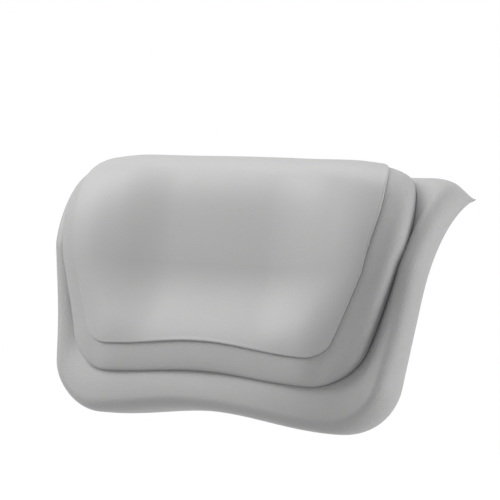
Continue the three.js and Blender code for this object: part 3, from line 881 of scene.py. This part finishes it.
dress("back_plate", grained("plate resin", PLATE_GREY, 0.5, cells=1600, depth=0.05 * MM, strength=0.4))
dress("cup_socket", grained("socket resin", SOCKET_GREY, 0.42, cells=1800, depth=0.03 * MM, strength=0.3))

# %% [markdown]
# The suction cups are clear, soft vinyl with a faint cold tint. Glass would be too clear and too sharp,
# so four fifths of the light pass through the tint and the rest is scattered by it.

# %% Suction cups
VINYL_TINT = (0.80, 0.86, 0.88)
VINYL_CLEAR_SHARE = 0.8
clear_vinyl = grained("clear vinyl", VINYL_TINT, 0.14, cells=240, depth=0.02 * MM, strength=0.2,
                      clear=VINYL_CLEAR_SHARE)
dress("suction_cup", clear_vinyl)

# %% [markdown]
# The screws are bright steel. A metal has no colour of its own under its shine, so the shader's
# metallic value is full and the colour given is that of its reflections.

# %% Screws
STEEL = (0.62, 0.61, 0.59)
bright_steel = grained("bright steel", STEEL, 0.28, cells=3000, depth=0.01 * MM, strength=0.3, metal=1.0)
dress("socket_screw", bright_steel)

# %% [markdown]
# The camera stands a few steps away, to the right of the pillow and a little low, with a long lens and
# a slight roll. A camera can be turned by eye until the picture fits. Here it is worked out from its
# angles and its distance, and then turned so that the pillow falls at its place in the picture.

# %% Camera: place and aim
CAMERA_AZIMUTH = math.radians(27.0)
CAMERA_ELEVATION = math.radians(-3.1)
CAMERA_ROLL = math.radians(5.2)
CAMERA_DISTANCE = 1626 * MM
PICTURE_PIXELS = 500
FOCAL_PIXELS = 1887
TARGET_PIXEL = (239.6, 294.1)
TARGET_HEIGHT = 110.4 * MM
target = Vector((0, -STAND_OFF, BOTTOM + TARGET_HEIGHT))


def direction(azimuth, elevation):
    """A unit vector away from the pillow: azimuth 0 is in front of it, and elevation is upwards."""
    level = math.cos(elevation)
    return Vector((math.sin(azimuth) * level, -math.cos(azimuth) * level, math.sin(elevation)))


def camera_axes():
    """Place, right, up and back of the camera.

    It is first aimed at the target with a roll: right is cos r * level + sin r * upright. Then it is
    turned by the small angle that brings the target from the middle of the picture to its pixel.
    """
    back = direction(CAMERA_AZIMUTH, CAMERA_ELEVATION)
    level = Vector((math.cos(CAMERA_AZIMUTH), math.sin(CAMERA_AZIMUTH), 0))
    upright = back.cross(level)
    right = math.cos(CAMERA_ROLL) * level + math.sin(CAMERA_ROLL) * upright
    up = -math.sin(CAMERA_ROLL) * level + math.cos(CAMERA_ROLL) * upright
    across = PICTURE_PIXELS / 2 - TARGET_PIXEL[0]
    raised = TARGET_PIXEL[1] - PICTURE_PIXELS / 2
    aimed = (back * FOCAL_PIXELS - right * across - up * raised).normalized()
    up = (up - aimed * up.dot(aimed)).normalized()
    return target + back * CAMERA_DISTANCE, up.cross(aimed), up, aimed


position, right, up, aimed = camera_axes()
print("camera stands at", [round(v, 3) for v in position])

# %% [markdown]
# Blender gives a lens in millimetres, for a sensor 36 mm wide. The length worked out for this picture
# is in pixels, so it is multiplied by the width that one pixel takes on the sensor.

# %% Camera
SENSOR_WIDTH = 36
CLIP_NEAR = 50 * MM
CLIP_FAR = 60000 * MM
camera = bpy.data.objects.new("camera", bpy.data.cameras.new("camera"))
camera.data.sensor_width = SENSOR_WIDTH
camera.data.lens = SENSOR_WIDTH * FOCAL_PIXELS / PICTURE_PIXELS
camera.data.clip_start, camera.data.clip_end = CLIP_NEAR, CLIP_FAR
camera.matrix_world = Matrix((
    (right.x, up.x, aimed.x, position.x), (right.y, up.y, aimed.y, position.y),
    (right.z, up.z, aimed.z, position.z), (0, 0, 0, 1),
))
bpy.context.scene.collection.objects.link(camera)
bpy.context.scene.camera = camera
print("camera has a lens of", round(camera.data.lens, 1), "mm")

# %% [markdown]
# The pillow is shown in a white studio, with large lamps above it, at its left, low in front and at its
# right. Small lamps or a sun would draw hard shadows, which soft foam in a studio doesn't show. Large
# rectangles let the dish and the rolls shade gently, and the creases stay dark.

# %% Lamps
LAMPS = {
    "top softbox": dict(azimuth=0, elevation=95, distance=1.2, size=(1.3, 0.8), power=7),
    "key softbox": dict(azimuth=-52, elevation=38, distance=1.6, size=(0.9, 0.9), power=17),
    "front softbox": dict(azimuth=-20, elevation=-20, distance=1.6, size=(1.2, 0.7), power=8),
    "right softbox": dict(azimuth=112, elevation=3, distance=1.6, size=(0.8, 1.4), power=17),
}


def softbox(name, azimuth, elevation, distance, size, power):
    """A rectangular lamp that faces the pillow: angles in degrees, sizes in metres, power in watts."""
    lamp = bpy.data.lights.new(name, "AREA")
    lamp.shape = "RECTANGLE"
    lamp.size, lamp.size_y = size
    lamp.energy = power
    box = bpy.data.objects.new(name, lamp)
    away = direction(math.radians(azimuth), math.radians(elevation))
    box.location = target + away * distance
    box.rotation_mode = "QUATERNION"
    box.rotation_quaternion = away.to_track_quat("Z", "Y")
    bpy.context.scene.collection.objects.link(box)
    print(name, power, "W")


for name, lamp in LAMPS.items():
    softbox(name, **lamp)

# %% [markdown]
# The background is pure white, but a white world of full strength would also light every crease away.
# So the world has two strengths: full for the rays that come straight from the camera, or through the
# clear cups, and about half for the light that falls on the foam.

# %% White world
AMBIENT = 0.53
WHITE = (1, 1, 1, 1)


def seen_directly(tree, kinds):
    """A mask that is 1 for rays of any of the given kinds: the largest of their light path outputs."""
    path = tree.nodes.new("ShaderNodeLightPath")
    mask = path.outputs[kinds[0]]
    for kind in kinds[1:]:
        mask = math_node(tree, "MAXIMUM", mask, path.outputs[kind])
    return mask


world = bpy.data.worlds.new("studio")
bpy.context.scene.world = world
world.use_nodes = True
sky_tree = world.node_tree
sky = sky_tree.nodes["Background"]
sky.inputs["Color"].default_value = WHITE
seen = seen_directly(sky_tree, ("Is Camera Ray", "Is Transmission Ray"))
strength = math_node(sky_tree, "ADD", AMBIENT, math_node(sky_tree, "MULTIPLY", seen, 1 - AMBIENT))
sky_tree.links.new(strength, sky.inputs["Strength"])
print("world lights with", AMBIENT, "of what the camera sees")

# %% [markdown]
# The floor lies well below the pillow, which hangs on a wall, and reads as white, while it keeps a
# faint shadow. White paint alone would turn grey away from the lamps, so the floor also glows, for the
# rays that see it and not as a light on the foam.

# %% Floor
FLOOR_DROP = 420 * MM
FLOOR_REACH = 20000 * MM
FLOOR_GREY = (0.38, 0.38, 0.38, 1)
FLOOR_ROUGHNESS = 0.9
FLOOR_GLOW = 0.88


def floor_finish():
    """Dull paint plus a glow that only camera, mirror and see-through rays can see."""
    paint, tree, shader = principled("floor paint")
    shader.inputs["Base Color"].default_value = FLOOR_GREY
    shader.inputs["Roughness"].default_value = FLOOR_ROUGHNESS
    glow = tree.nodes.new("ShaderNodeEmission")
    seen = seen_directly(tree, ("Is Camera Ray", "Is Glossy Ray", "Is Transmission Ray"))
    tree.links.new(math_node(tree, "MULTIPLY", seen, FLOOR_GLOW), glow.inputs["Strength"])
    both = tree.nodes.new("ShaderNodeAddShader")
    tree.links.new(shader.outputs[0], both.inputs[0])
    tree.links.new(glow.outputs[0], both.inputs[1])
    tree.links.new(both.outputs[0], tree.nodes["Material Output"].inputs["Surface"])
    return paint


floor_mesh = bpy.data.meshes.new("floor")
floor_z = BOTTOM - FLOOR_DROP
floor_sides = ((-FLOOR_REACH, -FLOOR_REACH), (FLOOR_REACH, -FLOOR_REACH),
               (FLOOR_REACH, FLOOR_REACH), (-FLOOR_REACH, FLOOR_REACH))
floor_mesh.from_pydata([(x, y, floor_z) for x, y in floor_sides], [], [(0, 1, 2, 3)])
floor_mesh.materials.append(floor_finish())
floor = bpy.data.objects.new("floor", floor_mesh)
bpy.context.scene.collection.objects.link(floor)
bpy.context.scene.view_settings.view_transform = "Standard"
print("floor", round(floor_z, 3), "m high")
